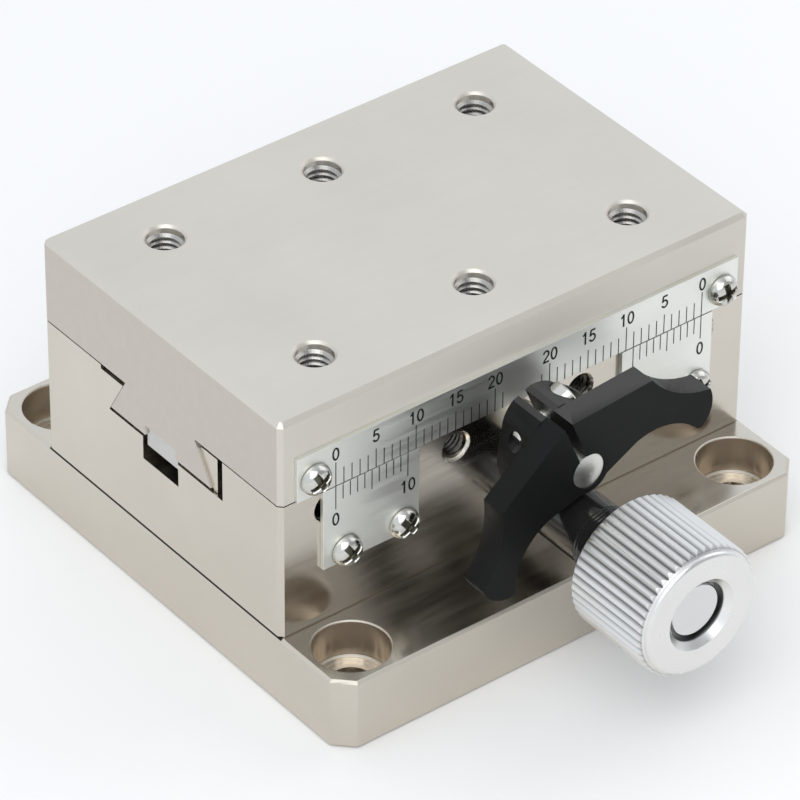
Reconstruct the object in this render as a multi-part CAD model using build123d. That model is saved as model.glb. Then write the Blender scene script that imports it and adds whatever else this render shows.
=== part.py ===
# A dovetail slide table: a rack and pinion stage with a thumb knob, a clamp lever and vernier scales.
#
# Millimetres. X is the direction of travel, Y runs from the knob's side (-Y) to the back, Z is up.
# The origin is the centre of the base plate's underside. The table stands at mid travel.

from build123d import *
from math import atan, cos, pi, radians, sin, sqrt, tan
import os

os.makedirs("parts", exist_ok=True)

# Plan sizes that the stacked pieces share
stage_length = 60.0
slide_width = 40.0

# Base plate
base_length = stage_length
base_width = 60.0
base_height = 8.5
base_corner = 2.0
base_edge = 0.3
mount_inset = 5.0
mount_spacing_x = base_length - 2 * mount_inset
mount_spacing_y = base_width - 2 * mount_inset
mount_hole_d = 4.5
mount_bore_d = 8.0
mount_bore_depth = 4.5
mount_bore_edge = 0.15

# Slide body
body_length = stage_length
body_width = slide_width
body_height = 16.4
body_edge = 0.5
body_foot_edge = 0.15

# Sliding table
table_length = stage_length
table_width = slide_width
table_height = 10.0
table_edge = 0.5
table_foot_edge = 0.05
travel = 20.0
slide_gap = 0.1

# Tapped holes in the table's top
top_hole_spacing_x = 20.0
top_hole_spacing_y = 25.0
top_hole_d = 4.0
top_hole_depth = 7.5
top_hole_sink = 0.3

# Dovetail and its gib
dovetail_width = 17.0
dovetail_depth = 4.5
dovetail_angle = 60.0
flank_clearance = 0.04
floor_gap = 0.4
relief_depth = 0.5
relief_width = 4.2
gib_foot = 0.8
gib_slot = 1.2
gib_edge = 0.3
gib_inset = 0.3
gib_lift = 0.1

# Gib screws and the clamp screw, all on one line above the pocket's floor
gib_line_height = 2.4
gib_screw_pitch = 16.0
gib_screw_d = 3.0
gib_screw_length = 6.0
gib_screw_socket = 1.5
gib_hole_sink = 0.3

# Rack and pinion
gear_module = 0.5
pinion_teeth = 12
pressure_angle = 20.0
pinion_drop = 9.5
pinion_addendum = 0.45
rack_addendum = 0.35
dedendum = 0.625
backlash = 0.1
rack_width = 5.2
rack_recess = 1.2
rack_inset = 0.3
rack_side_gap = 0.4
rack_tip_gap = 0.85
rack_over_travel = 2.5

# Pinion shaft, its bushing and the bores that hold them
bushing_d = 7.0
bushing_nose = 17.3
bushing_edge = 0.3
journal_d = 4.0
tail_d = 3.0
tail_length = 4.0
running_clearance = 0.05
seat_clearance = 0.02
end_float = 0.1
pinion_room = 0.3

# Knob
knob_d = 15.0
knob_length = 11.5
flute_count = 48
flute_depth = 0.45
knob_front_cone = 0.55
knob_front_round = 0.5
knob_back_edge = 0.5
knob_socket_depth = 4.5
knob_web = 2.0
cap_mouth_d = 8.2
cap_bore_d = 6.8
cap_set_back = 1.0
cap_d = 6.0
cap_thickness = 1.5
cap_flange = 0.5
cap_edge = 0.15
knob_screw_d = 2.5
knob_screw_length = 8.0
knob_screw_head_d = 4.5
knob_screw_head_h = 2.5
knob_screw_socket = 2.0

# Clamp screw and its pad
clamp_screw_d = 4.0
clamp_end_stand = 0.3
clamp_dome_height = 0.4
clamp_pad_d = 3.4
clamp_pad_length = 1.0

# Clamp lever, drawn upright about the clamp screw: (across, up) from the screw's axis
lever_rest_angle = 22.6
lever_standoff = 3.7
lever_boss_depth = 4.5
lever_wing_depth = 3.0
lever_slit = 0.95
lever_crown = (0.0, 7.36)
lever_peak = (10.25, 4.05)
lever_hollow = (11.9, 0.35)
lever_tip = (15.67, -3.1)
lever_tip_side = (15.2, -5.1)
lever_toe = (13.6, -6.6)
lever_toe_side = (12.95, -6.7)
lever_heel = (12.5, -6.3)
lever_arch = (10.2, -3.15)
lever_arch_top = (6.0, -1.6)
lever_arch_end = (1.66, -2.07)
lever_foot_radius = 2.65
boss_crown = (1.2, 7.1)
boss_shoulder = (2.6, 6.3)
boss_side_top = (3.6, 4.9)
boss_side = (4.76, 3.2)
boss_side_foot = (5.66, 1.35)

# The cap screw that closes the lever's slit
pinch_height = 4.7
pinch_seat = 1.5
pinch_seat_d = 3.9
pinch_screw_d = 2.0
pinch_screw_length = 5.0
pinch_head_d = 3.8
pinch_head_h = 2.0
pinch_socket = 1.5

# Scale plates
plate_thickness = 0.5
main_plate_inset = 1.75
main_plate_length = table_length - 2 * main_plate_inset
main_plate_height = 5.3
main_plate_lift = 0.12
main_screw_inset = 2.15
main_screw_spacing = main_plate_length - 2 * main_screw_inset
main_screw_rise = 2.18
vernier_length = 12.0
vernier_height = 9.75
vernier_rise = 0.1
vernier_inset = 4.95
vernier_screw_spacing = 7.2
vernier_screw_shift = 0.4
vernier_screw_rise = 1.4
plate_screw_d = 2.0
plate_screw_length = 4.0
plate_screw_head_d = 3.5
plate_screw_head_h = 1.3
plate_screw_round = 0.85
plate_hole_d = 2.2
cross_width = 0.5
cross_span = 2.0
cross_depth = 0.6

# Hidden fasteners
body_screw_inset = 7.0
body_screw_spacing_x = body_length - 2 * body_screw_inset
body_screw_spacing_y = body_width - 2 * body_screw_inset
body_screw_d = 4.0
body_screw_length = 10.0
body_screw_head_d = 7.0
body_screw_head_h = 4.0
body_screw_socket = 3.0
body_screw_bore_d = 8.0
body_screw_bore_depth = 4.5
body_screw_hole_d = 4.5
tap_run_out = 1.0
bushing_screw_d = 3.0
bushing_screw_length = 3.0
bushing_screw_set_back = 5.0
rack_screw_inset = 3.5
rack_screw_spacing = table_length - 2 * rack_screw_inset
rack_screw_d = 2.0
rack_screw_length = 5.0
rack_screw_head_d = 3.8
rack_screw_socket = 1.3
stop_pin_d = 3.0
stop_pin_stand = 1.5
stop_pin_seat = 6.0
stop_pin_offset = 16.0
stop_slot_depth = 2.0
stop_slot_side = 0.1
stop_slot_end = 0.05

# How far a cut runs past the face that it opens
cut_over = 1.0

# Levels, worked out from the sizes above
base_top = base_height
body_top = base_top + body_height
table_bottom = body_top + slide_gap
table_top = table_bottom + table_height
body_front = -body_width / 2
table_front = -table_width / 2
dovetail_bottom = table_bottom - dovetail_depth
pocket_floor = dovetail_bottom - floor_gap
relief_floor = body_top - relief_depth
flank_slope = tan(radians(dovetail_angle))
flank_shift = flank_clearance / sin(radians(dovetail_angle))
gib_face = -(dovetail_width / 2 + gib_foot)
pocket_wall = gib_face - gib_slot
gib_line = pocket_floor + gib_line_height
gib_screw_columns = [(i - 1.5) * gib_screw_pitch for i in range(4)]

# Gear geometry
pitch_radius = gear_module * pinion_teeth / 2
gear_pitch = pi * gear_module
pinion_axis = table_bottom - pinion_drop
pitch_line = pinion_axis + pitch_radius
rack_root = pitch_line + dedendum
rack_tip = pitch_line - rack_addendum
rack_top = dovetail_bottom + rack_recess
channel_floor = rack_tip - rack_tip_gap
pinion_back = rack_width / 2
pinion_front = -rack_width / 2
bushing_back = pinion_front - end_float
bushing_front = body_front - bushing_nose
knob_back = bushing_front - end_float
shaft_end = knob_back - knob_socket_depth
knob_head_seat = knob_socket_depth + knob_web
cap_face = knob_length - cap_set_back
knob_head_top = cap_face - cap_thickness

# Clamp geometry
lever_back = body_front - lever_standoff
lever_wing_back = lever_back - lever_boss_depth
lever_front = lever_wing_back - lever_wing_depth
clamp_tip = gib_face - clamp_pad_length
clamp_end = lever_front - clamp_end_stand
clamp_rod_d = clamp_screw_d - 2 * running_clearance
pinch_line = lever_back - lever_boss_depth / 2

# Places of the plates and their screws
main_plate_foot = table_bottom + main_plate_lift
main_screw_line = main_plate_foot + main_screw_rise
vernier_centre = body_length / 2 - vernier_inset - vernier_length / 2
vernier_foot = body_top + vernier_rise - vernier_height
vernier_screw_line = vernier_foot + vernier_screw_rise
main_screw_places = [-main_screw_spacing / 2, main_screw_spacing / 2]
rack_screw_places = [-rack_screw_spacing / 2, rack_screw_spacing / 2]


def block(x, y, z):
    """A box between two corners, each span given as (low, high)."""
    size = (x[1] - x[0], y[1] - y[0], z[1] - z[0])
    middle = ((x[0] + x[1]) / 2, (y[0] + y[1]) / 2, (z[0] + z[1]) / 2)
    return Pos(*middle) * Box(*size)


def rod_z(x, y, d, low, high):
    """A cylinder along Z between two heights."""
    return Pos(x, y, (low + high) / 2) * Cylinder(d / 2, high - low)


def rod_y(x, z, d, front, back):
    """A cylinder along Y between two places."""
    return Pos(x, (front + back) / 2, z) * Rot(90, 0, 0) * Cylinder(d / 2, back - front)


def prism_x(points, length):
    """A section given as (y, z) points, drawn out along X about x = 0."""
    face = Plane.YZ * make_face(Polyline(*points, close=True))
    return Pos(-length / 2, 0, 0) * extrude(face, length, dir=(1, 0, 0))


def prism_y(face, front, back):
    """A face drawn in X and Z, drawn out along Y between two places."""
    standing = Pos(0, front, 0) * Rot(90, 0, 0) * face
    return extrude(standing, back - front, dir=(0, 1, 0))


def sink_z(x, y, z, d, edge):
    """The cone that opens the mouth of a hole of diameter d, at height z, looking up."""
    return Pos(x, y, z - edge / 2) * Cone(d / 2, d / 2 + edge, edge)


def sink_y(x, z, y, d, edge):
    """The cone that opens the mouth of a hole of diameter d on a front face at y."""
    return Pos(x, y + edge / 2, z) * Rot(90, 0, 0) * Cone(d / 2, d / 2 + edge, edge)


def corners(spacing_x, spacing_y):
    """The four corners of a rectangle about the origin."""
    return [(sx * spacing_x / 2, sy * spacing_y / 2) for sx in (-1, 1) for sy in (-1, 1)]


def hexagon(across):
    """A hexagon that measures the given size across its flats."""
    return RegularPolygon(across / 2, 6, major_radius=False)


def flank(z):
    """Half of the dovetail's width at height z."""
    return dovetail_width / 2 - (z - dovetail_bottom) / flank_slope


def write(name, *solids):
    """Writes one node; several solids make a group."""
    shape = solids[0] if len(solids) == 1 else Compound(children=list(solids))
    export_step(shape, f"parts/{name}.step")


def cap_screw(d, length, head_d, head_h, socket):
    """A socket cap screw along Z: the shank points up from z = 0, the head hangs below."""
    head = Pos(0, 0, -head_h / 2) * Cylinder(head_d / 2, head_h)
    head = chamfer(head.edges().sort_by(Axis.Z)[0], head_d * 0.05)
    screw = head + Pos(0, 0, length / 2) * Cylinder(d / 2, length)
    screw = chamfer(screw.edges().filter_by(GeomType.CIRCLE).sort_by(Axis.Z)[-1], d * 0.12)
    return screw - Pos(0, 0, -head_h) * extrude(hexagon(socket), head_h / 2)


def set_screw(d, length, socket):
    """A socket set screw along Z: the socket opens at z = 0, the tip is at z = length."""
    screw = Pos(0, 0, length / 2) * Cylinder(d / 2, length)
    screw = chamfer(screw.edges().filter_by(GeomType.CIRCLE), d * 0.1)
    return screw - extrude(hexagon(socket), length / 4)


def pan_screw():
    """A cross-recessed pan head screw along Z: the head stands above z = 0."""
    head = Pos(0, 0, plate_screw_head_h / 2) * Cylinder(plate_screw_head_d / 2, plate_screw_head_h)
    head = fillet(head.edges().sort_by(Axis.Z)[-1], plate_screw_round)
    shank_d = plate_screw_d - 2 * seat_clearance
    screw = head + Pos(0, 0, -plate_screw_length / 2) * Cylinder(shank_d / 2, plate_screw_length)
    cross = Box(cross_span, cross_width, cross_depth) + Box(cross_width, cross_span, cross_depth)
    return screw - Pos(0, 0, plate_screw_head_h - cross_depth / 2) * cross


def base_plate():
    plate = block((-base_length / 2, base_length / 2), (-base_width / 2, base_width / 2), (0, base_top))
    plate = chamfer(plate.edges().filter_by(Axis.Z), base_corner)
    plate = chamfer(plate.faces().sort_by(Axis.Z)[-1].edges(), base_edge)
    plate = chamfer(plate.faces().sort_by(Axis.Z)[0].edges(), base_edge)
    for x, y in corners(mount_spacing_x, mount_spacing_y):
        plate -= rod_z(x, y, mount_hole_d, 0, base_top)
        plate -= rod_z(x, y, mount_bore_d, base_top - mount_bore_depth, base_top)
        plate -= sink_z(x, y, base_top, mount_bore_d, mount_bore_edge)
    for x, y in corners(body_screw_spacing_x, body_screw_spacing_y):
        plate -= rod_z(x, y, body_screw_hole_d, 0, base_top)
        plate -= rod_z(x, y, body_screw_bore_d, 0, body_screw_bore_depth)
    return plate


def body_screws():
    shank_d = body_screw_d - 2 * seat_clearance
    screw = cap_screw(shank_d, body_screw_length, body_screw_head_d, body_screw_head_h, body_screw_socket)
    places = corners(body_screw_spacing_x, body_screw_spacing_y)
    return [Pos(x, y, body_screw_bore_depth) * screw for x, y in places]


def vernier_screw_places(side):
    """Where one vernier plate's screws stand along X; side is -1 on the left, 1 on the right."""
    middle = side * vernier_centre + vernier_screw_shift
    return [middle + end * vernier_screw_spacing / 2 for end in (-1, 1)]


def pocket():
    """The dovetail's room in the body: a flank at the back, a straight wall before the gib."""
    relief_back = flank(table_bottom) + relief_width
    above = table_bottom + cut_over
    points = [
        (pocket_wall, above),
        (pocket_wall, pocket_floor),
        (flank(pocket_floor) + flank_shift, pocket_floor),
        (flank(relief_floor) + flank_shift, relief_floor),
        (relief_back, relief_floor),
        (relief_back, above),
    ]
    return prism_x(points, body_length + 2 * cut_over)


def slide_base():
    half = body_width / 2
    body = block((-body_length / 2, body_length / 2), (-half, half), (base_top, body_top))
    body = chamfer(body.edges().filter_by(Axis.Z), body_edge)
    body = chamfer(body.faces().sort_by(Axis.Z)[0].edges(), body_foot_edge)
    body -= pocket()
    channel = rack_width / 2 + rack_side_gap
    channel_top = pocket_floor + cut_over
    body -= block((-body_length, body_length), (-channel, channel), (channel_floor, channel_top))
    outside = body_front - cut_over
    bushing_bore = bushing_d + 2 * seat_clearance
    body -= rod_y(0, pinion_axis, bushing_bore, outside, pinion_back + pinion_room)
    tail_end = pinion_back + tail_length + pinion_room
    body -= rod_y(0, pinion_axis, tail_d + 2 * running_clearance, 0, tail_end)
    for x in gib_screw_columns:
        body -= rod_y(x, gib_line, gib_screw_d, outside, pocket_wall + cut_over)
        body -= sink_y(x, gib_line, body_front, gib_screw_d, gib_hole_sink)
    body -= rod_y(0, gib_line, clamp_screw_d, outside, pocket_wall + cut_over)
    for x in vernier_screw_places(-1) + vernier_screw_places(1):
        body -= rod_y(x, vernier_screw_line, plate_screw_d, outside, body_front + plate_screw_length)
    tap_end = body_screw_bore_depth + body_screw_length + tap_run_out
    for x, y in corners(body_screw_spacing_x, body_screw_spacing_y):
        body -= rod_z(x, y, body_screw_d, base_top - cut_over, tap_end)
    bushing_screw_y = body_front + bushing_screw_set_back
    body -= rod_z(0, bushing_screw_y, bushing_screw_d, base_top - cut_over, pinion_axis)
    return body - rod_z(0, stop_pin_offset, stop_pin_d, body_top - stop_pin_seat, body_top + cut_over)


def slide_table():
    half = table_width / 2
    table = block((-table_length / 2, table_length / 2), (-half, half), (table_bottom, table_top))
    table = chamfer(table.edges().filter_by(Axis.Z), table_edge)
    table = chamfer(table.faces().sort_by(Axis.Z)[-1].edges(), table_edge)
    table = chamfer(table.faces().sort_by(Axis.Z)[0].edges(), table_foot_edge)
    inside = table_bottom + cut_over
    root = flank(table_bottom)
    foot = flank(dovetail_bottom)
    right = [(foot, dovetail_bottom), (root, table_bottom), (root, inside)]
    left = [(-root, inside), (-root, table_bottom), (-foot, dovetail_bottom)]
    table += prism_x(left + right, table_length)
    slot = rack_width / 2
    table -= block((-table_length, table_length), (-slot, slot), (dovetail_bottom - cut_over, rack_top))
    for x, y in top_hole_places():
        table -= rod_z(x, y, top_hole_d, table_top - top_hole_depth, table_top)
        table -= sink_z(x, y, table_top, top_hole_d, top_hole_sink)
    tap_end = table_front + plate_screw_length
    for x in main_screw_places:
        table -= rod_y(x, main_screw_line, plate_screw_d, table_front - cut_over, tap_end)
    for x in rack_screw_places:
        table -= rod_z(x, 0, rack_screw_d, rack_top - cut_over, rack_root + rack_screw_length + tap_run_out)
    slot_width = stop_pin_d + 2 * stop_slot_side
    slot_length = 2 * (travel + stop_slot_end) + slot_width
    stop_slot = extrude(SlotOverall(slot_length, slot_width), stop_slot_depth + cut_over)
    return table - Pos(0, stop_pin_offset, table_bottom - cut_over) * stop_slot


def top_hole_places():
    """Three columns of two tapped holes."""
    return [(i * top_hole_spacing_x, sy * top_hole_spacing_y / 2) for i in (-1, 0, 1) for sy in (-1, 1)]


def gib():
    """A wedge that fills the room between the dovetail's front flank and the gib screws."""
    low = pocket_floor + gib_lift
    flank_low = -flank(low) - flank_shift
    flank_high = -flank(relief_floor) - flank_shift
    points = [
        (gib_face, low),
        (flank_low, low),
        (flank_high - gib_edge / flank_slope, relief_floor - gib_edge),
        (flank_high - gib_edge, relief_floor),
        (gib_face, relief_floor),
    ]
    return prism_x(points, body_length - 2 * gib_inset)


def gib_screws():
    screw = set_screw(gib_screw_d - 2 * seat_clearance, gib_screw_length, gib_screw_socket)
    start = gib_face - gib_screw_length
    return [Pos(x, start, gib_line) * Rot(-90, 0, 0) * screw for x in gib_screw_columns]


def rack_tooth():
    """One straight-sided tooth that hangs from the rack's root line, about x = 0."""
    slope = tan(radians(pressure_angle))
    at_pitch = gear_pitch / 4 - backlash / 4
    at_root = at_pitch + dedendum * slope
    at_tip = at_pitch - rack_addendum * slope
    points = [(-at_root, rack_root), (-at_tip, rack_tip), (at_tip, rack_tip), (at_root, rack_root)]
    return prism_y(make_face(Polyline(*points, close=True)), -rack_width / 2, rack_width / 2)


def rack():
    """A bar with teeth along its middle; a tooth space stands over the pinion's axis."""
    half_length = table_length / 2 - rack_inset
    half_width = rack_width / 2
    bar = block((-half_length, half_length), (-half_width, half_width), (rack_root, rack_top))
    tooth = rack_tooth()
    count = int((travel + rack_over_travel) / gear_pitch)
    bar += [Pos((i + 0.5) * gear_pitch, 0, 0) * tooth for i in range(-count, count)]
    sink = (rack_screw_head_d - rack_screw_d) / 2
    for x in rack_screw_places:
        bar -= rod_z(x, 0, rack_screw_d, rack_root - cut_over, rack_top + cut_over)
        bar -= Pos(x, 0, rack_root + sink / 2) * Cone(rack_screw_head_d / 2, rack_screw_d / 2, sink)
    return bar


def rack_screws():
    d = rack_screw_d - 2 * seat_clearance
    head_d = rack_screw_head_d - 2 * seat_clearance
    sink = (head_d - d) / 2
    screw = Pos(0, 0, sink / 2) * Cone(head_d / 2, d / 2, sink)
    screw += Pos(0, 0, rack_screw_length / 2) * Cylinder(d / 2, rack_screw_length)
    screw -= extrude(hexagon(rack_screw_socket), sink / 2)
    return [Pos(x, 0, rack_root + seat_clearance) * screw for x in rack_screw_places]


def involute_turn(radius, base_radius):
    """How far round an involute has turned when it reaches a radius."""
    roll = sqrt((radius / base_radius) ** 2 - 1)
    return roll - atan(roll)


def pinion_outline():
    """Twelve involute teeth with radial roots; the first one points up into the rack."""
    base_radius = pitch_radius * cos(radians(pressure_angle))
    tip_radius = pitch_radius + pinion_addendum
    root_radius = pitch_radius - dedendum
    half_tooth = (gear_pitch / 4 - backlash / 4) / pitch_radius
    start = half_tooth + involute_turn(pitch_radius, base_radius)
    steps = 5
    radii = [base_radius + (tip_radius - base_radius) * i / steps for i in range(steps + 1)]
    side = [(root_radius, start)] + [(r, start - involute_turn(r, base_radius)) for r in radii]
    points = []
    for tooth in range(pinion_teeth):
        middle = pi / 2 + tooth * 2 * pi / pinion_teeth
        turned = [(r, middle - a) for r, a in side] + [(r, middle + a) for r, a in reversed(side)]
        points += [(r * cos(t), r * sin(t)) for r, t in turned]
    return make_face(Polyline(*points, close=True))


def pinion_shaft():
    """The pinion is cut from the shaft itself; a tapped end takes the knob's screw."""
    shaft = Pos(0, 0, pinion_axis) * prism_y(pinion_outline(), pinion_front, pinion_back)
    shaft += rod_y(0, pinion_axis, journal_d, shaft_end, pinion_front)
    shaft += rod_y(0, pinion_axis, tail_d, pinion_back, pinion_back + tail_length)
    tap_end = knob_back - knob_head_seat + knob_screw_length + tap_run_out
    return shaft - rod_y(0, pinion_axis, knob_screw_d, shaft_end, tap_end)


def pinion_bushing():
    bush = rod_y(0, pinion_axis, bushing_d, bushing_front, bushing_back)
    bush = chamfer(bush.edges().filter_by(GeomType.CIRCLE).sort_by(Axis.Y)[0], bushing_edge)
    bore = journal_d + 2 * running_clearance
    return bush - rod_y(0, pinion_axis, bore, bushing_front - cut_over, bushing_back + cut_over)


def bushing_set_screw():
    tip = pinion_axis - bushing_d / 2
    screw = set_screw(bushing_screw_d - 2 * seat_clearance, bushing_screw_length, gib_screw_socket)
    return Pos(0, body_front + bushing_screw_set_back, tip - bushing_screw_length) * screw


def knob_profile():
    """The turned blank of the knob, back at z = 0, front at z = knob_length."""
    r = knob_d / 2
    cone_foot = knob_length - knob_front_round - knob_front_cone
    cone_top = knob_length - knob_front_round
    rim = r - knob_front_cone
    side = Polyline(
        (rim - knob_front_round, knob_length),
        (0, knob_length),
        (0, 0),
        (r - knob_back_edge, 0),
        (r, knob_back_edge),
        (r, cone_foot),
        (rim, cone_top),
    )
    bulge = knob_front_round * (1 - cos(pi / 4))
    edge = ThreePointArc(
        (rim, cone_top),
        (rim - bulge, knob_length - bulge),
        (rim - knob_front_round, knob_length),
    )
    return revolve(Plane.XZ * make_face(side + edge), Axis.Z)


def fluted_blank():
    """Straight V flutes round a cylinder, along Z from z = 0."""
    outer = knob_d / 2
    points = []
    for i in range(2 * flute_count):
        r = outer - (i % 2) * flute_depth
        t = i * pi / flute_count
        points.append((r * cos(t), r * sin(t)))
    return extrude(make_face(Polyline(*points, close=True)), knob_length)


def knob():
    body = knob_profile() & fluted_blank()
    body -= sink_z(0, 0, knob_length, cap_bore_d, (cap_mouth_d - cap_bore_d) / 2)
    body -= rod_z(0, 0, cap_bore_d, knob_head_top, knob_length)
    body -= rod_z(0, 0, knob_screw_head_d + 2 * end_float, knob_head_seat, knob_head_top)
    body -= rod_z(0, 0, knob_screw_d + 2 * end_float, 0, knob_head_seat)
    body -= rod_z(0, 0, journal_d + 2 * seat_clearance, 0, knob_socket_depth)
    return Pos(0, knob_back, pinion_axis) * Rot(90, 0, 0) * body


def knob_screw():
    shank_d = knob_screw_d - 2 * seat_clearance
    screw = cap_screw(shank_d, knob_screw_length, knob_screw_head_d, knob_screw_head_h, knob_screw_socket)
    return Pos(0, knob_back - knob_head_seat, pinion_axis) * Rot(-90, 0, 0) * screw


def knob_cap():
    """A disc on a wider flange, so that a dark groove runs round its face."""
    disc = rod_z(0, 0, cap_d, 0, cap_thickness)
    disc = chamfer(disc.edges().sort_by(Axis.Z)[-1], cap_edge)
    disc += rod_z(0, 0, cap_bore_d - 2 * seat_clearance, 0, cap_flange)
    return Pos(0, knob_back - knob_head_top, pinion_axis) * Rot(90, 0, 0) * disc


def clamp_pad():
    return rod_y(0, gib_line, clamp_pad_d, clamp_tip, gib_face)


def clamp_screw():
    """A rod with a domed end in front of the lever."""
    r = clamp_rod_d / 2
    length = clamp_tip - clamp_end
    dome_foot = length - clamp_dome_height
    dome_radius = (r ** 2 + clamp_dome_height ** 2) / (2 * clamp_dome_height)
    half_way = length - dome_radius + sqrt(dome_radius ** 2 - r ** 2 / 4)
    side = Polyline((0, length), (0, 0), (r, 0), (r, dome_foot))
    dome = ThreePointArc((r, dome_foot), (r / 2, half_way), (0, length))
    rod = revolve(Plane.XZ * make_face(side + dome), Axis.Z)
    return Pos(0, clamp_tip, gib_line) * Rot(90, 0, 0) * rod


def lever_underside():
    """From the arch's top to the middle: along the arch, then round below the screw's bore."""
    foot = (0.0, -lever_foot_radius)
    foot_side = (lever_foot_radius * sin(radians(20)), -lever_foot_radius * cos(radians(20)))
    return Line(lever_arch_top, lever_arch_end) + ThreePointArc(lever_arch_end, foot_side, foot)


def wing_outline():
    """The right half of the lever's front outline."""
    edges = Line(lever_crown, lever_peak)
    edges += ThreePointArc(lever_peak, lever_hollow, lever_tip)
    edges += ThreePointArc(lever_tip, lever_tip_side, lever_toe)
    edges += ThreePointArc(lever_toe, lever_toe_side, lever_heel)
    edges += ThreePointArc(lever_heel, lever_arch, lever_arch_top)
    edges += lever_underside()
    return make_face(edges + Line((0.0, -lever_foot_radius), lever_crown))


def boss_outline():
    """The right half of the boss behind the wings."""
    crown = (0.0, boss_crown[1])
    edges = Line(crown, boss_crown)
    edges += ThreePointArc(boss_crown, boss_shoulder, boss_side_top)
    edges += ThreePointArc(boss_side_top, boss_side, boss_side_foot)
    edges += Line(boss_side_foot, lever_arch_top)
    edges += lever_underside()
    return make_face(edges + Line((0.0, -lever_foot_radius), crown))


def mirrored(half):
    """A face and its mirror image across x = 0, as one."""
    return half + mirror(half, Plane.YZ)


def clamp_lever():
    """Two wings on a split boss, drawn upright and then turned to where it is clamped."""
    lever = prism_y(mirrored(wing_outline()), lever_front, lever_wing_back)
    lever += prism_y(mirrored(boss_outline()), lever_wing_back, lever_back)
    bore = clamp_rod_d + 2 * running_clearance
    lever -= rod_y(0, 0, bore, lever_front - cut_over, lever_back + cut_over)
    slit = (-lever_slit / 2, lever_slit / 2)
    lever -= block(slit, (lever_front - cut_over, lever_back + cut_over), (0, lever_crown[1] + cut_over))
    across = Pos(0, pinch_line, pinch_height) * Rot(0, 90, 0)
    lever -= across * Cylinder(pinch_screw_d / 2, 2 * lever_peak[0])
    seat = across * Pos(0, 0, pinch_seat) * extrude(Circle(pinch_seat_d / 2), lever_peak[0])
    return lever_pose() * (lever - seat)


def lever_pose():
    return Pos(0, 0, gib_line) * Rot(0, -lever_rest_angle, 0)


def lever_cap_screw():
    shank_d = pinch_screw_d - 2 * seat_clearance
    screw = cap_screw(shank_d, pinch_screw_length, pinch_head_d, pinch_head_h, pinch_socket)
    return lever_pose() * Pos(pinch_seat, pinch_line, pinch_height) * Rot(0, -90, 0) * screw


def main_scale_plate():
    x = (-main_plate_length / 2, main_plate_length / 2)
    z = (main_plate_foot, main_plate_foot + main_plate_height)
    plate = block(x, (table_front - plate_thickness, table_front), z)
    for place in main_screw_places:
        plate -= rod_y(place, main_screw_line, plate_hole_d, table_front - cut_over, table_front)
    return plate


def vernier_plate(side):
    middle = side * vernier_centre
    x = (middle - vernier_length / 2, middle + vernier_length / 2)
    z = (vernier_foot, vernier_foot + vernier_height)
    plate = block(x, (body_front - plate_thickness, body_front), z)
    for place in vernier_screw_places(side):
        plate -= rod_y(place, vernier_screw_line, plate_hole_d, body_front - cut_over, body_front)
    return plate


def plate_screws(places, line, face):
    """Pan head screws through a scale plate on a front face."""
    screw = pan_screw()
    return [Pos(x, face - plate_thickness, line) * Rot(90, 0, 0) * screw for x in places]


def stop_pin():
    return rod_z(0, stop_pin_offset, stop_pin_d, body_top - stop_pin_seat, body_top + stop_pin_stand)


write("base_plate", base_plate())
write("base_screws", *body_screws())
write("slide_base", slide_base())
write("slide_table", slide_table())
write("gib", gib())
write("gib_set_screws", *gib_screws())
write("rack", rack())
write("rack_screws", *rack_screws())
write("pinion_shaft", pinion_shaft())
write("pinion_bushing", pinion_bushing())
write("bushing_set_screw", bushing_set_screw())
write("knob", knob())
write("knob_screw", knob_screw())
write("knob_cap", knob_cap())
write("clamp_screw", clamp_screw())
write("clamp_pad", clamp_pad())
write("clamp_lever", clamp_lever())
write("lever_cap_screw", lever_cap_screw())
write("main_scale_plate", main_scale_plate())
write("main_scale_screws", *plate_screws(main_screw_places, main_screw_line, table_front))
write("vernier_plate_left", vernier_plate(-1))
write("vernier_plate_right", vernier_plate(1))
write("vernier_screws_left", *plate_screws(vernier_screw_places(-1), vernier_screw_line, body_front))
write("vernier_screws_right", *plate_screws(vernier_screw_places(1), vernier_screw_line, body_front))
write("stop_pin", stop_pin())
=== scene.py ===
# Looks of the dovetail slide table: materials, edge rounding, threads, scale lines and numbers.
#
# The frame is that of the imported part: X is the travel, -Y is the knob's side, Z is up. Lengths are in
# millimetres unless a line says otherwise, and are multiplied by MM where they go to Blender.

import math

import bpy
from mathutils import Matrix, Vector

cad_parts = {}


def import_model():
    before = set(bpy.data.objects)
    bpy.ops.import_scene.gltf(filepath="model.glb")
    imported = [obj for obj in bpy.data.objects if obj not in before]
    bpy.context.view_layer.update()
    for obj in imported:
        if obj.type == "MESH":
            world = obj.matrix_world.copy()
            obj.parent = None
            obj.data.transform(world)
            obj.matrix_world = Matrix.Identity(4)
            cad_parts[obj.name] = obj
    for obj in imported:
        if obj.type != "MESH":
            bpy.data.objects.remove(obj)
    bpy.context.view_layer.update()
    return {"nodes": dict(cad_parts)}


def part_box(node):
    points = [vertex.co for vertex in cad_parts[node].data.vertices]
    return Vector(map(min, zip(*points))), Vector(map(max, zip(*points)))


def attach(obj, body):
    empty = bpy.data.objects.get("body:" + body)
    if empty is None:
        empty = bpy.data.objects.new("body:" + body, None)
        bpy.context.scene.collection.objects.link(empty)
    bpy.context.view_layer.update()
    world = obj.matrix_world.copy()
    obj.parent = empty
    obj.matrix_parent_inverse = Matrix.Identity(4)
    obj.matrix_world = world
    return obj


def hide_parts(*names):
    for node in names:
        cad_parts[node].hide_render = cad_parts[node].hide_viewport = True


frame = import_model()
MM = 0.001

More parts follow.
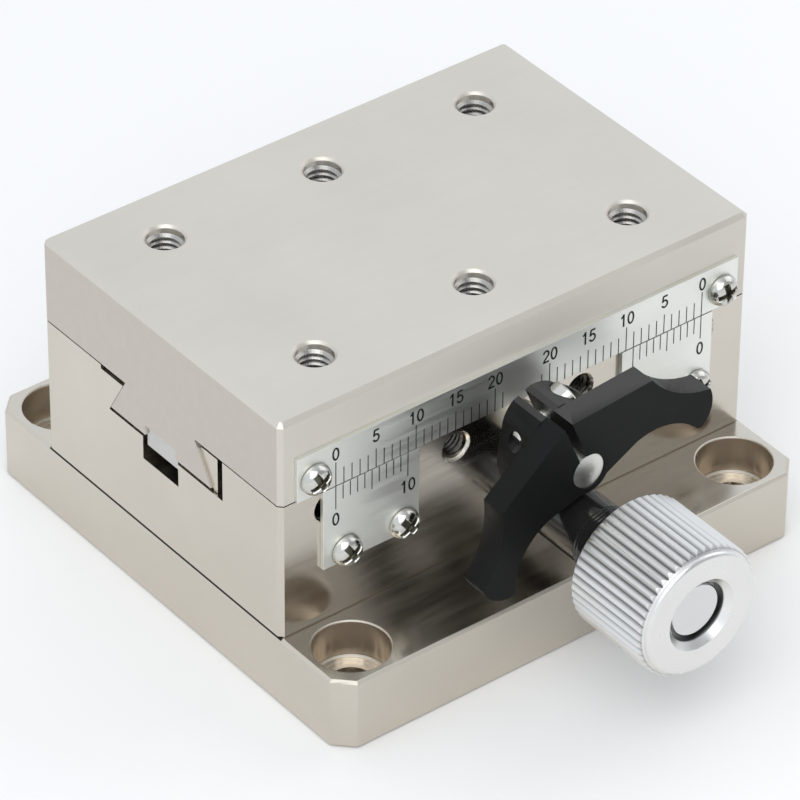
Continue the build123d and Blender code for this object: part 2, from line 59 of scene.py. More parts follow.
# Places and sizes taken from the part itself
PLATE_FRONT = -20.5
MAIN_SCREW_LINE = 27.3
VERNIER_SCREW_LINE = 16.65
HEAD_D = 3.5
HEAD_H = 1.3
TABLE_HOLES = [(x, y) for x in (-20, 0, 20) for y in (-12.5, 12.5)]
TABLE_HOLE_EASE = 0.3
GIB_HOLES_X = (-24, -8, 8, 24)
GIB_LINE = 22.5
GIB_THREAD_START = -19.75
PINION_AXIS = 15.5
COUNTERBORE_PLACE = 25.0
COUNTERBORE_RADIUS = 4.0
COUNTERBORE_DEPTH = 4.5
FLUTE_ROOT = 7.06
FLUTE_TIP = 7.30
KNOB_FRONT_RING = 0.62


# Mesh helpers

def make_object(name, verts, faces, material, body, slot, smooth=False):
    """A mesh from points in millimetres; it rides on a body and takes the given material. The slot
    argument is not used.
    """
    mesh = bpy.data.meshes.new(name)
    mesh.from_pydata([Vector(v) * MM for v in verts], [], faces)
    mesh.validate()
    mesh.polygons.foreach_set("use_smooth", [smooth] * len(mesh.polygons))
    mesh.materials.append(material)
    obj = bpy.data.objects.new(name, mesh)
    bpy.context.scene.collection.objects.link(obj)
    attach(obj, body)
    return obj


def merge(parts):
    """Several (verts, faces) as one."""
    verts, faces = [], []
    for part_verts, part_faces in parts:
        start = len(verts)
        verts += part_verts
        faces += [tuple(i + start for i in face) for face in part_faces]
    return verts, faces


def placed(part, matrix):
    verts, faces = part
    return [tuple(matrix @ Vector(v)) for v in verts], faces


def on_front(x, y, z):
    """A matrix that puts local Z = 0 at a place, with local Y up and local Z towards the front."""
    turn = Matrix(((1, 0, 0), (0, 0, -1), (0, 1, 0))).to_4x4()
    return Matrix.Translation((x, y, z)) @ turn


def around(radius, step, steps):
    """X and Y of a step on a circle."""
    turn = 2 * math.pi * step / steps
    return radius * math.cos(turn), radius * math.sin(turn)


# Shader helpers

def new_material(name):
    mat = bpy.data.materials.new(name)
    mat.use_nodes = True
    tree = mat.node_tree
    shader = next(n for n in tree.nodes if n.type == "BSDF_PRINCIPLED")
    return mat, tree, shader


def noise(tree, coords, scale, detail=3.0, stretch=(1, 1, 1)):
    mapping = tree.nodes.new("ShaderNodeMapping")
    mapping.inputs["Scale"].default_value = stretch
    tree.links.new(coords, mapping.inputs["Vector"])
    tex = tree.nodes.new("ShaderNodeTexNoise")
    tex.inputs["Scale"].default_value = scale
    tex.inputs["Detail"].default_value = detail
    tex.inputs["Roughness"].default_value = 0.55
    tree.links.new(mapping.outputs["Vector"], tex.inputs["Vector"])
    return tex.outputs["Fac"]


def ramp(tree, value, low, high, from_low=0.3, from_high=0.7):
    """Goes from low to high as a value goes from from_low to from_high."""
    node = tree.nodes.new("ShaderNodeMapRange")
    node.inputs["From Min"].default_value = from_low
    node.inputs["From Max"].default_value = from_high
    node.inputs["To Min"].default_value = low
    node.inputs["To Max"].default_value = high
    tree.links.new(value, node.inputs["Value"])
    return node.outputs["Result"]


def tint(tree, value, dark, light):
    node = tree.nodes.new("ShaderNodeMix")
    node.data_type = "RGBA"
    node.inputs["A"].default_value = (*dark, 1)
    node.inputs["B"].default_value = (*light, 1)
    tree.links.new(value, node.inputs["Factor"])
    return node.outputs["Result"]


def split_coords(tree, kind):
    """X, Y and Z of the object's own Object or Normal coordinates."""
    split = tree.nodes.new("ShaderNodeSeparateXYZ")
    tree.links.new(tree.nodes.new("ShaderNodeTexCoord").outputs[kind], split.inputs[0])
    return split.outputs["X"], split.outputs["Y"], split.outputs["Z"]


def combine(tree, operation, first, second=None):
    """One value from one or two others; the second may be a number."""
    node = tree.nodes.new("ShaderNodeMath")
    node.operation = operation
    tree.links.new(first, node.inputs[0])
    if isinstance(second, float):
        node.inputs[1].default_value = second
    elif second is not None:
        tree.links.new(second, node.inputs[1])
    return node.outputs["Value"]


def distance(tree, first, second):
    """The length of a vector in a plane, from its two parts."""
    squares = [combine(tree, "MULTIPLY", part, part) for part in (first, second)]
    return combine(tree, "SQRT", combine(tree, "ADD", *squares))


def between(tree, value, low, high, soft):
    """1 where a value lies between two lengths, 0 outside."""
    rise = ramp(tree, value, 0, 1, from_low=(low - soft) * MM, from_high=low * MM)
    fall = ramp(tree, value, 1, 0, from_low=high * MM, from_high=(high + soft) * MM)
    return combine(tree, "MULTIPLY", rise, fall)


# Materials

GRAIN_DEPTH = 0.02
CLOUD_SCALE = 60


def metal(name, dark, light, rough, grain=(1, 1, 1), grain_scale=400, grain_strength=0.1,
          metallic=1.0, specular=0.5):
    """A worked metal: clouded colour, uneven gloss and fine grain along one direction."""
    mat, tree, shader = new_material(name)
    coords = tree.nodes.new("ShaderNodeTexCoord").outputs["Object"]
    cloud = noise(tree, coords, CLOUD_SCALE)
    lines = noise(tree, coords, grain_scale, detail=2.0, stretch=grain)
    tree.links.new(tint(tree, ramp(tree, cloud, 0, 1), dark, light), shader.inputs["Base Color"])
    tree.links.new(ramp(tree, lines, rough[0], rough[1]), shader.inputs["Roughness"])
    shader.inputs["Metallic"].default_value = metallic
    shader.inputs["Specular IOR Level"].default_value = specular
    relief = tree.nodes.new("ShaderNodeBump")
    relief.inputs["Strength"].default_value = grain_strength
    relief.inputs["Distance"].default_value = GRAIN_DEPTH * MM
    tree.links.new(lines, relief.inputs["Height"])
    tree.links.new(relief.outputs["Normal"], shader.inputs["Normal"])
    return mat


MATERIALS = {
    "nickel_brass": metal("satin_nickel", (0.602, 0.558, 0.490), (0.642, 0.597, 0.527), (0.17, 0.26),
                          grain=(0.12, 1, 1), grain_scale=900, grain_strength=0.06),
    "knob_aluminium": metal("knob_satin", (0.745, 0.735, 0.715), (0.795, 0.785, 0.765), (0.26, 0.38),
                            grain_scale=700, grain_strength=0.02),
    "scale_aluminium": metal("scale_satin", (0.79, 0.795, 0.75), (0.84, 0.845, 0.80), (0.38, 0.50),
                             grain=(0.06, 1, 1), grain_scale=1500),
    "black_aluminium": metal("black_anodised", (0.009, 0.009, 0.009), (0.012, 0.012, 0.012),
                             (0.33, 0.42), grain_scale=1800, metallic=0.0, specular=0.075),
    "black_steel": metal("black_oxide", (0.010, 0.010, 0.010), (0.018, 0.017, 0.016), (0.10, 0.18),
                         grain=(1, 0.2, 1), grain_scale=900, grain_strength=0.05, metallic=0.0,
                         specular=0.8),
    "bright_steel": metal("bright_nickel", (0.56, 0.55, 0.51), (0.64, 0.63, 0.59), (0.14, 0.24),
                          grain_scale=900, grain_strength=0.06),
    "ground_steel": metal("ground_steel", (0.52, 0.51, 0.50), (0.60, 0.59, 0.58), (0.22, 0.34),
                          grain=(1, 0.1, 1), grain_scale=900),
    "plain_brass": metal("plain_brass", (0.72, 0.56, 0.30), (0.80, 0.64, 0.36), (0.25, 0.38),
                         grain_scale=600),
}
INK = metal("scale_ink", (0.010, 0.010, 0.010), (0.016, 0.016, 0.016), (0.5, 0.6),
            grain_scale=3000, grain_strength=0.05, metallic=0.0, specular=0.25)
THREAD = metal("cut_thread", (0.38, 0.37, 0.345), (0.46, 0.45, 0.425), (0.20, 0.32), grain_scale=900)
# Painted shade: a darker copy of the cut thread, for the gib's holes that lie in shade
SHADED_THREAD = metal("shaded_thread", (0.11, 0.105, 0.09), (0.16, 0.15, 0.13), (0.25, 0.36),
                    grain_scale=900)
# Painted shade for the screws' cross recesses
RECESS_SHADE = metal("recess_shade", (0.10, 0.10, 0.07), (0.15, 0.145, 0.11), (0.30, 0.42),
                    grain_scale=900)
STUD_END = metal("stud_end", (0.64, 0.63, 0.58), (0.74, 0.73, 0.68), (0.36, 0.46), grain_scale=700)
CAP_MIRROR = metal("cap_mirror", (0.67, 0.665, 0.66), (0.70, 0.695, 0.69), (0.06, 0.10),
                   grain_strength=0.01)
SATIN_TABLE = metal("satin_table", (0.63, 0.59, 0.53), (0.665, 0.625, 0.562), (0.42, 0.50),
                    grain=(0.12, 1, 1), grain_scale=900, grain_strength=0.06, metallic=0.85)

for slot_name, material in MATERIALS.items():
    for node in frame["nodes"].values():
        for material_slot in node.material_slots:
            if material_slot.material and material_slot.material.name.split(".")[0] == slot_name:
                material_slot.material = material

# Nodes whose finish differs from their slot: the lapped table is duller than the body and the base,
# the knob's cap is polished, and the clamp screw's end is bare
OWN_FINISHES = {"slide_table": SATIN_TABLE, "knob_cap": CAP_MIRROR, "clamp_screw": STUD_END}
for node_name, material in OWN_FINISHES.items():
    for material_slot in frame["nodes"][node_name].material_slots:
        material_slot.material = material


# Finishes that differ over one material, by place or by the way a face looks

# Painted shade: a dark colour laid in the groove at the seam between the body and the base
SEAM_SHADE_COLOUR = (0.03, 0.03, 0.025)
SEAM_BELOW, SEAM_ABOVE, SEAM_SOFT = 0.22, 0.05, 0.03
BODY_HALF_WIDTH, BODY_SOFT = 19.9, 0.1
END_FROM, END_TO, END_SOFT = 29.6, 31, 0.05
# Painted shade in the bottoms of the knob's flutes
FLUTE_SHADE_COLOUR = (0.28, 0.28, 0.275)
RING_SOFT = 0.1
# Painted shade on the counterbores' walls
BORE_SHADE_COLOUR = (0.60, 0.53, 0.45)
BORE_MARGIN, BORE_SOFT = 0.03, 0.05
BORE_WALL_LOW, BORE_WALL_HIGH, BORE_WALL_SOFT = 4.4, 8.3, 0.03
# Parts of a face's normal between which it starts to count as facing one way, or as slanted
FACING_FROM, FACING_TO = 0.90, 0.98
# Where the painted sheen on upward faces begins and where it is full
SHEEN_FROM, SHEEN_TO = 0.80, 0.97
SLANT_FROM, SLANT_FULL = 0.45, 0.55
SLANT_LESS, SLANT_TO = 0.90, 0.97


def colour_source(material):
    """A material's tree, its shader, and the output that gives its colour now."""
    tree = material.node_tree
    shader = next(n for n in tree.nodes if n.type == "BSDF_PRINCIPLED")
    return tree, shader, shader.inputs["Base Color"].links[0].from_socket


def blend_into(tree, shader, under, share, colour):
    """Lays a colour over the present one where share is 1."""
    node = tree.nodes.new("ShaderNodeMix")
    node.data_type = "RGBA"
    tree.links.new(under, node.inputs["A"])
    node.inputs["B"].default_value = (*colour, 1)
    tree.links.new(share, node.inputs["Factor"])
    tree.links.new(node.outputs["Result"], shader.inputs["Base Color"])


def blend_roughness(tree, shader, share, roughness):
    """Lays a roughness over the present one where share is 1."""
    node = tree.nodes.new("ShaderNodeMix")
    tree.links.new(share, node.inputs["Factor"])
    tree.links.new(shader.inputs["Roughness"].links[0].from_socket, node.inputs["A"])
    node.inputs["B"].default_value = roughness
    tree.links.new(node.outputs["Result"], shader.inputs["Roughness"])


def darken_seam(material, height):
    """Painted shade: the groove at the seam between the body and the base is coloured dark on both end
    faces.
    """
    tree, shader, under = colour_source(material)
    x, y, z = split_coords(tree, "Object")
    on_seam = between(tree, z, height - SEAM_BELOW, height + SEAM_ABOVE, SEAM_SOFT)
    on_body = between(tree, y, -BODY_HALF_WIDTH, BODY_HALF_WIDTH, BODY_SOFT)
    on_end = between(tree, combine(tree, "ABSOLUTE", x), END_FROM, END_TO, END_SOFT)
    share = combine(tree, "MULTIPLY", combine(tree, "MULTIPLY", on_seam, on_body), on_end)
    blend_into(tree, shader, under, share, SEAM_SHADE_COLOUR)


def darken_flutes(material):
    """Painted shade: the bottoms of the knob's flutes are coloured dark, all along it except on the
    front ring.
    """
    across, along, up = zip(*frame["nodes"]["knob"].bound_box)
    tree, shader, under = colour_source(material)
    x, y, z = split_coords(tree, "Object")
    off_axis = distance(tree, combine(tree, "SUBTRACT", x, (min(across) + max(across)) / 2),
                        combine(tree, "SUBTRACT", z, (min(up) + max(up)) / 2))
    deep = ramp(tree, off_axis, 1, 0, FLUTE_ROOT * MM, FLUTE_TIP * MM)
    ring_end = min(along) + KNOB_FRONT_RING * MM
    behind = ramp(tree, y, 0, 1, ring_end, ring_end + RING_SOFT * MM)
    blend_into(tree, shader, under, combine(tree, "MULTIPLY", deep, behind), FLUTE_SHADE_COLOUR)


def lighten_upward(material, colour):
    """Painted sheen: faces that look up get a paler colour, standing in for the light a lamp above puts
    on anodised tops.
    """
    tree, shader, under = colour_source(material)
    z = split_coords(tree, "Normal")[2]
    blend_into(tree, shader, under, ramp(tree, z, 0, 1, SHEEN_FROM, SHEEN_TO), colour)


def dull_front(material, metallic, roughness):
    """The front face, milled after lapping, mirrors less than the others."""
    tree, shader, _ = colour_source(material)
    y = split_coords(tree, "Normal")[1]
    front = ramp(tree, y, 1, 0, -FACING_TO, -FACING_FROM)
    rest = shader.inputs["Metallic"].default_value
    tree.links.new(ramp(tree, front, rest, metallic, 0, 1), shader.inputs["Metallic"])
    blend_roughness(tree, shader, front, roughness)


def shade_ends(material, colour):
    """Painted shade: the faces at both ends along X are coloured a little darker than the others."""
    tree, shader, under = colour_source(material)
    outward = combine(tree, "ABSOLUTE", split_coords(tree, "Normal")[0])
    on_ends = ramp(tree, outward, 0, 1, FACING_FROM, FACING_TO)
    blend_into(tree, shader, under, on_ends, colour)


def dull_bevels(material, roughness):
    """Hand-broken edges, which look up at a slant, are duller than the faces."""
    tree, shader, _ = colour_source(material)
    z = split_coords(tree, "Normal")[2]
    not_upright = ramp(tree, z, 0, 1, SLANT_FROM, SLANT_FULL)
    not_flat = ramp(tree, z, 1, 0, SLANT_LESS, SLANT_TO)
    blend_roughness(tree, shader, combine(tree, "MULTIPLY", not_upright, not_flat), roughness)


def dull_bores(material, roughness):
    """The walls of the base's four counterbores are milled and not polished, so rougher; their darker,
    browner colour is painted shade for the inside of the recesses.
    """
    tree, shader, under = colour_source(material)
    x, y, z = split_coords(tree, "Object")
    parts = [combine(tree, "SUBTRACT", combine(tree, "ABSOLUTE", value), COUNTERBORE_PLACE * MM)
             for value in (x, y)]
    reach = COUNTERBORE_RADIUS + BORE_MARGIN
    near = ramp(tree, distance(tree, *parts), 1, 0, reach * MM, (reach + BORE_SOFT) * MM)
    on_wall = between(tree, z, BORE_WALL_LOW, BORE_WALL_HIGH, BORE_WALL_SOFT)
    walls = combine(tree, "MULTIPLY", near, on_wall)
    blend_into(tree, shader, under, walls, BORE_SHADE_COLOUR)
    blend_roughness(tree, shader, walls, roughness)


darken_seam(MATERIALS["nickel_brass"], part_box("base_plate")[1].z / MM)
darken_flutes(MATERIALS["knob_aluminium"])
# Painted sheen on the black lever's upward faces
lighten_upward(MATERIALS["black_aluminium"], (0.062, 0.060, 0.058))
dull_front(SATIN_TABLE, 0.4, 0.70)
# Painted shade on the table's end faces
shade_ends(SATIN_TABLE, (0.565, 0.515, 0.465))
dull_bevels(MATERIALS["nickel_brass"], 0.55)
dull_bores(MATERIALS["nickel_brass"], 0.33)


# Edges of the CAD nodes are eased a little, as a file or a tumbler leaves them

WELD_REACH = 0.001
SHARP_ANGLE = math.radians(30)
EDGE_WIDTHS = {
    "base_plate": 0.08, "slide_base": 0.06, "slide_table": 0.06, "clamp_lever": 0.14,
    "main_scale_plate": 0.04, "vernier_plate_left": 0.04, "vernier_plate_right": 0.04,
}

for node_name, width in EDGE_WIDTHS.items():
    obj = frame["nodes"][node_name]
    weld = obj.modifiers.new("weld", "WELD")
    weld.merge_threshold = WELD_REACH * MM
    bevel = obj.modifiers.new("ease", "BEVEL")
    bevel.width = width * MM
    bevel.segments = 2
    bevel.limit_method = "ANGLE"
    bevel.angle_limit = SHARP_ANGLE
    bevel.harden_normals = True
    bevel.use_clamp_overlap = True


# Scale lines and numbers

ZERO_X = 23.5
# The main scale has one more line past its 20
MAIN_LINES, MAIN_STEP = 22, 1
VERNIER_LINES, VERNIER_STEP = 11, 0.9
# Lengths of the lines for the tens, the fives and the rest
MAIN_LENGTHS = (2.9, 2.3, 1.95)
VERNIER_LENGTHS = (2.8, 2.4, 1.85)
MAIN_NUMBER_FOOT = 3.15
VERNIER_NUMBER_GAP = 0.45
LINE_WIDTH = 0.11
INK_HEIGHT = 0.012
DIGIT_HEIGHT = 1.55
DIGIT_WIDTH = 0.84
DIGIT_STROKE = 0.22
DIGIT_STEP = 1.02


def line_part(x, z0, z1):
    """A thin raised line on the plates' front."""
    half = LINE_WIDTH / 2
    verts = [(at, y, z) for y in (PLATE_FRONT, PLATE_FRONT - INK_HEIGHT) for z in (z0, z1)
             for at in (x - half, x + half)]
    faces = [(0, 2, 3, 1), (4, 5, 7, 6), (0, 1, 5, 4), (2, 6, 7, 3), (0, 4, 6, 2), (1, 3, 7, 5)]
    return verts, faces


def arc_points(cx, cz, rx, rz, start, end, count):
    """Points along an ellipse, angles in degrees from +x, anticlockwise."""
    points = []
    for i in range(count + 1):
        t = math.radians(start + (end - start) * i / count)
        points.append((cx + rx * math.cos(t), cz + rz * math.sin(t)))
    return points


def digit_strokes(digit):
    """Middle lines of the strokes of 0, 1, 2 or 5 in a box 1 wide and 1 high."""
    if digit == "0":
        return [arc_points(0.5, 0.5, 0.40, 0.44, 90, 449, 32)]
    if digit == "1":
        return [[(0.20, 0.74), (0.42, 0.80), (0.56, 0.93), (0.60, 1.0)], [(0.60, 1.0), (0.60, 0.0)]]
    if digit == "2":
        bowl = arc_points(0.5, 0.68, 0.39, 0.26, 170, -25, 16)
        return [bowl + [(0.30, 0.24), (0.13, 0.06)], [(0.05, 0.06), (0.95, 0.06)]]
    bowl = arc_points(0.47, 0.33, 0.42, 0.27, 140, -160, 20)
    return [[(0.90, 0.94), (0.24, 0.94)], [(0.26, 0.97), (0.14, 0.47)], bowl]


def stroke_part(points):
    """A flat bar of constant width along a line of points, raised by the ink's height."""
    left, right = [], []
    for i, (x, z) in enumerate(points):
        before = Vector(points[max(i - 1, 0)])
        after = Vector(points[min(i + 1, len(points) - 1)])
        along = (after - before).normalized()
        side = Vector((-along.y, along.x)) * DIGIT_STROKE / 2
        left.append((x + side.x, z + side.y))
        right.append((x - side.x, z - side.y))
    verts, faces = [], []
    for y in (PLATE_FRONT, PLATE_FRONT - INK_HEIGHT):
        verts += [(x, y, z) for x, z in left] + [(x, y, z) for x, z in right]
    n = len(points)
    for i in range(n - 1):
        a, b, c, d = i, i + 1, n + i + 1, n + i
        faces.append((a, b, c, d))
        faces.append(tuple(2 * n + k for k in (a, d, c, b)))
        faces.append((a, 2 * n + a, 2 * n + b, b))
        faces.append((d, c, 2 * n + c, 2 * n + d))
    for i in (0, n - 1):
        faces.append((i, n + i, 3 * n + i, 2 * n + i))
    return verts, faces


def number_parts(text, centre_x, foot_z):
    """A number centred on a line, standing on foot_z."""
    parts = []
    width = DIGIT_STEP * (len(text) - 1) + DIGIT_WIDTH
    x = centre_x - width / 2
    for digit in text:
        for line in digit_strokes(digit):
            points = [(x + u * DIGIT_WIDTH, foot_z + v * DIGIT_HEIGHT) for u, v in line]
            parts.append(stroke_part(points))
        x += DIGIT_STEP
    return parts


def line_length(i, lengths):
    tens, fives, rest = lengths
    return tens if i % 10 == 0 else fives if i % 5 == 0 else rest


def main_scale_marks():
    """Two scales that run inwards from the zeros, up from the plate's lower edge."""
    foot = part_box("main_scale_plate")[0].z / MM
    parts = []
    for side in (-1, 1):
        for i in range(MAIN_LINES):
            x = side * (ZERO_X - MAIN_STEP * i)
            parts.append(line_part(x, foot, foot + line_length(i, MAIN_LENGTHS)))
            if i % 5 == 0:
                parts += number_parts(str(i), x, foot + MAIN_NUMBER_FOOT)
    return merge(parts)


def vernier_marks(node, side):
    """One vernier, down from its plate's upper edge."""
    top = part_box(node)[1].z / MM
    parts = []
    for i in range(VERNIER_LINES):
        length = line_length(i, VERNIER_LENGTHS)
        x = side * (ZERO_X - VERNIER_STEP * i)
        parts.append(line_part(x, top - length, top))
        if i % 10 == 0:
            parts += number_parts(str(i), x, top - length - VERNIER_NUMBER_GAP - DIGIT_HEIGHT)
    return merge(parts)


make_object("main_scale_lines", *main_scale_marks(), INK, "table", "scale_aluminium")
make_object("vernier_lines_left", *vernier_marks("vernier_plate_left", -1), INK, "base",
            "scale_aluminium")
make_object("vernier_lines_right", *vernier_marks("vernier_plate_right", 1), INK, "base",
            "scale_aluminium")


# Threads in the tapped holes

THREAD_STEPS = 40
# How far from the wall to the crest, and how far down as a share of the pitch
THREAD_PROFILE = ((0, 0.0), (1, 0.40), (1, 0.52), (0, 0.92))
# The ridge rises and ends over this share of a turn
THREAD_TAPER = 0.5
THREAD_START_RISE, THREAD_END_RISE = 0.02, 0.04
WALL_OVERLAP = 0.02


def thread_part(major, minor, pitch, depth):
    """A helical ridge on the wall of a hole along -Z from z = 0, closed at both ends."""
    outer, inner = major / 2 + WALL_OVERLAP, minor / 2
    turns = depth / pitch - 1
    count = int(turns * THREAD_STEPS)
    verts, faces = [], []
    for i in range(count + 1):
        turn = i / THREAD_STEPS
        ease = min(1.0, (turn + THREAD_START_RISE) / THREAD_TAPER,
                   (turns - turn + THREAD_END_RISE) / THREAD_TAPER)
        for crest, down in THREAD_PROFILE:
            r = outer - (outer - inner) * ease * crest
            verts.append((*around(r, -i, THREAD_STEPS), -(turn + down) * pitch))
    for i in range(count):
        for k in range(4):
            a, b = 4 * i + k, 4 * i + (k + 1) % 4
            faces.append((a, a + 4, b + 4, b))
    faces.append((0, 1, 2, 3))
    faces.append(tuple(4 * count + k for k in (3, 2, 1, 0)))
    return verts, faces


def top_threads():
    """M4 in the table's top, under the holes' eased mouths."""
    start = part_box("slide_table")[1].z / MM - TABLE_HOLE_EASE
    ridge = thread_part(4.0, 3.3, 0.7, 7.0)
    return merge([placed(ridge, Matrix.Translation((x, y, start))) for x, y in TABLE_HOLES])


def gib_threads():
    """M3 in the body's front, down to the gib's set screws."""
    ridge = thread_part(3.0, 2.5, 0.5, 4.3)
    return merge([placed(ridge, on_front(x, GIB_THREAD_START, GIB_LINE)) for x in GIB_HOLES_X])


make_object("table_threads", *top_threads(), THREAD, "table", "nickel_brass")
make_object("gib_hole_threads", *gib_threads(), SHADED_THREAD, "base", "nickel_brass")


# Turned details: rings on the counterbores' floors and on the bushing's end

RING_STEPS = 96
WALL_GAP, FLOOR_LIFT = 0.005, 0.01
FOOT_RADIUS = 0.35
FOOT_ANGLES = (0, 0.4, 0.8, 1.2, 1.5708)
# (radius, height) points
FLOOR_RINGS = [(3.50, 0.01), (3.46, 0.07), (3.20, 0.07), (3.16, 0.03), (2.86, 0.03), (2.82, 0.06),
               (2.62, 0.06), (2.27, 0.001)]
BUSHING_RIDGE = [(3.49, -0.16), (3.49, 0.16), (3.62, 0.04), (3.62, -0.04)]
BUSHING_RIDGES, BUSHING_RIDGE_START, BUSHING_RIDGE_STEP = 6, 1.9, 0.42


def turned_ring(profile):
    """A closed ring about Z from a closed profile of (radius, height) points."""
    verts, faces = [], []
    n = len(profile)
    for k in range(RING_STEPS):
        verts += [(*around(r, k, RING_STEPS), z) for r, z in profile]
    for k in range(RING_STEPS):
        a, b = k * n, (k + 1) % RING_STEPS * n
        for i in range(n):
            j = (i + 1) % n
            faces.append((a + i, b + i, b + j, a + j))
    return verts, faces


def counterbore_floors():
    """A small radius at the wall's foot, tool rings and an eased hole."""
    floor_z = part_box("base_plate")[1].z / MM - COUNTERBORE_DEPTH
    wall = COUNTERBORE_RADIUS - WALL_GAP
    foot = [(wall - FOOT_RADIUS * (1 - math.cos(a)), FLOOR_LIFT + FOOT_RADIUS * (1 - math.sin(a)))
            for a in FOOT_ANGLES]
    ring = turned_ring(foot + FLOOR_RINGS + [(wall, 0.001)])
    sides = (-COUNTERBORE_PLACE, COUNTERBORE_PLACE)
    return merge([placed(ring, Matrix.Translation((x, y, floor_z))) for x in sides for y in sides])


def bushing_rings():
    """Fine turned ridges round the bushing's nose."""
    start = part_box("pinion_bushing")[0].y / MM + BUSHING_RIDGE_START
    ridge = turned_ring(BUSHING_RIDGE)
    return merge([placed(ridge, on_front(0, start + BUSHING_RIDGE_STEP * i, PINION_AXIS))
                  for i in range(BUSHING_RIDGES)])


make_object("counterbore_rings", *counterbore_floors(), MATERIALS["nickel_brass"], "base",
            "nickel_brass")
make_object("bushing_ridges", *bushing_rings(), MATERIALS["black_steel"], "base", "black_steel")


# Pan head screws with a cross recess

HEAD_RINGS, HEAD_STEPS = 44, 160
# Under 1, the rings stand closer towards the rim
HEAD_SPREAD = 0.9
# As shares of the head's height; the power says how late the dome turns down to its rim
DOME_DROP = 0.16
RIM_HEIGHT = 0.25
RIM_POWER = 7
CROSS_HALF_LENGTH, CROSS_END_SLOPE = 1.28, 0.22
CROSS_HALF_WIDTH, CROSS_SIDE_SLOPE = 0.36, 0.08
CROSS_DEPTH = 0.80
# Faces cut deeper than this share get painted shade: a dark copy of the heads' metal
IN_CROSS = 0.3


def crown(r):
    """The domed head's height, which falls to a low rim at the edge."""
    share = r / (HEAD_D / 2)
    edge = share ** RIM_POWER
    return HEAD_H * ((1 - DOME_DROP * share ** 2) * (1 - edge) + RIM_HEIGHT * edge)


def share_cut(x, y):
    """1 in the cross, 0 outside, with sloped sides and ends."""
    cut = 0.0
    for u, v in ((abs(x), abs(y)), (abs(y), abs(x))):
        across = (CROSS_HALF_WIDTH - v) / CROSS_SIDE_SLOPE
        along = (CROSS_HALF_LENGTH - u) / CROSS_END_SLOPE
        cut = max(cut, min(1.0, across, along))
    return cut


def pan_head_part():
    """A domed head on z = 0 with a cross cut into it; also says which faces lie in the cross."""
    radius, steps = HEAD_D / 2, HEAD_STEPS
    verts, faces = [], []
    for i in range(HEAD_RINGS + 1):
        r = radius * (i / HEAD_RINGS) ** HEAD_SPREAD
        for k in range(steps):
            x, y = around(r, k, steps)
            verts.append((x, y, crown(r) - CROSS_DEPTH * share_cut(x, y)))
    verts += [(*around(radius, k, steps), 0.0) for k in range(steps)]
    for i in range(HEAD_RINGS + 1):
        for k in range(steps):
            a, b = i * steps + k, i * steps + (k + 1) % steps
            faces.append((a, a + steps, b + steps, b))
    faces.append(tuple(range((HEAD_RINGS + 2) * steps - 1, (HEAD_RINGS + 1) * steps - 1, -1)))
    in_cross = [min(share_cut(*verts[i][:2]) for i in face) > IN_CROSS for face in faces]
    return verts, faces, in_cross


def pan_screws(name, node, body, line_z, turns):
    """Two heads on a plate's front, each with its turn in degrees, in place of a node's plain ones."""
    verts, faces, in_cross = pan_head_part()
    low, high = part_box(node)
    places = (low.x / MM + HEAD_D / 2, high.x / MM - HEAD_D / 2)
    parts = []
    for x, turn in zip(places, turns):
        spin = Matrix.Rotation(math.radians(turn), 4, "Z")
        parts.append(placed((verts, faces), on_front(x, PLATE_FRONT, line_z) @ spin))
    obj = make_object(name, *merge(parts), MATERIALS["bright_steel"], body, "bright_steel", smooth=True)
    obj.data.materials.append(RECESS_SHADE)
    obj.data.polygons.foreach_set("material_index", [int(dark) for dark in in_cross] * len(places))
    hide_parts(node)


pan_screws("scale_screw_heads", "main_scale_screws", "table", MAIN_SCREW_LINE, (28, 12))
pan_screws("vernier_screw_heads_left", "vernier_screws_left", "base", VERNIER_SCREW_LINE, (30, 38))
pan_screws("vernier_screw_heads_right", "vernier_screws_right", "base", VERNIER_SCREW_LINE, (5, 20))


# Floor, light and camera; the floor's sizes and the lights' are in metres

FLOOR_HALF = 1.5
FLOOR_Z = -0.00002
FLOOR_COLOURS = (0.86, 0.85, 0.835), (0.88, 0.87, 0.855)
DARK_SIDE = Vector((0.50, -0.62, 0.61)).normalized()
SKY, SKY_DARK = (0.95, 1.0, 1.06), (0.46, 0.475, 0.50)
LIGHT_TARGET = Vector((0, 0, 15))


def floor():
    mat, tree, shader = new_material("pale_floor")
    coords = tree.nodes.new("ShaderNodeTexCoord").outputs["Object"]
    colour = tint(tree, noise(tree, coords, 3), *FLOOR_COLOURS)
    tree.links.new(colour, shader.inputs["Base Color"])
    shader.inputs["Roughness"].default_value = 0.9
    shader.inputs["Specular IOR Level"].default_value = 0.1
    mesh = bpy.data.meshes.new("floor")
    corners = ((-1, -1), (1, -1), (1, 1), (-1, 1))
    verts = [(x * FLOOR_HALF, y * FLOOR_HALF, FLOOR_Z) for x, y in corners]
    mesh.from_pydata(verts, [], [(0, 1, 2, 3)])
    mesh.materials.append(mat)
    obj = bpy.data.objects.new("floor", mesh)
    bpy.context.scene.collection.objects.link(obj)


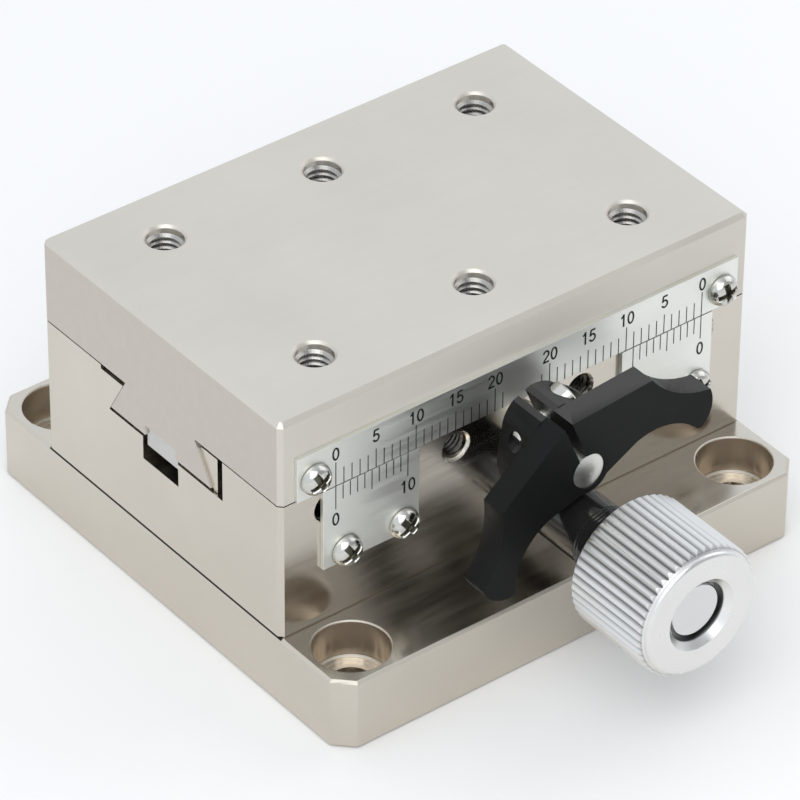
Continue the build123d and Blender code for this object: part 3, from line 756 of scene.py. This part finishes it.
def world():
    """White all round, with a darker part on the camera's side, as an open studio has."""
    made = bpy.data.worlds.new("studio")
    bpy.context.scene.world = made
    made.use_nodes = True
    tree = made.node_tree
    background = next(n for n in tree.nodes if n.type == "BACKGROUND")
    coords = tree.nodes.new("ShaderNodeTexCoord").outputs["Generated"]
    dot = tree.nodes.new("ShaderNodeVectorMath")
    dot.operation = "DOT_PRODUCT"
    dot.inputs[1].default_value = DARK_SIDE
    tree.links.new(coords, dot.inputs[0])
    shade = ramp(tree, dot.outputs["Value"], 0, 1, from_low=0.55, from_high=0.95)
    tree.links.new(tint(tree, shade, SKY, SKY_DARK), background.inputs["Color"])
    background.inputs["Strength"].default_value = 1.0


def area_light(name, place, size, power):
    """A square lamp at a place in millimetres, with its size in metres and its power in watts."""
    data = bpy.data.lights.new(name, "AREA")
    data.shape = "RECTANGLE"
    data.size = data.size_y = size
    data.energy = power
    obj = bpy.data.objects.new(name, data)
    obj.location = Vector(place) * MM
    obj.rotation_euler = (LIGHT_TARGET - Vector(place)).to_track_quat("-Z", "Y").to_euler()
    bpy.context.scene.collection.objects.link(obj)


def camera():
    """The photograph's angle: azimuth, elevation and roll in degrees, offsets in millimetres."""
    azimuth, elevation, roll = (math.radians(a) for a in (-38.2, 36.81, 0.5))
    offset = Vector((-0.53, 10.24, 614.44))
    focal_px, image_px, sensor = 5851.3, 800, 36.0
    forward = Vector((-math.sin(azimuth) * math.cos(elevation), math.cos(azimuth) * math.cos(elevation),
                      -math.sin(elevation)))
    level = Vector((math.cos(azimuth), math.sin(azimuth), 0))
    upright = level.cross(forward)
    right = math.cos(roll) * level + math.sin(roll) * upright
    up = math.cos(roll) * upright - math.sin(roll) * level
    place = -(right * offset.x - up * offset.y + forward * offset.z)
    data = bpy.data.cameras.new("camera")
    data.sensor_width = sensor
    data.lens = focal_px / image_px * sensor
    data.clip_start, data.clip_end = 0.05, 20
    obj = bpy.data.objects.new("camera", data)
    turn = Matrix((right, up, -forward)).transposed()
    obj.matrix_world = Matrix.Translation(place * MM) @ turn.to_4x4()
    bpy.context.scene.collection.objects.link(obj)
    bpy.context.scene.camera = obj


floor()
world()
area_light("key", (-230, -320, 480), 0.5, 1.5)
area_light("fill", (430, -60, 380), 0.4, 0.4)
camera()
bpy.context.scene.view_settings.view_transform = "Standard"
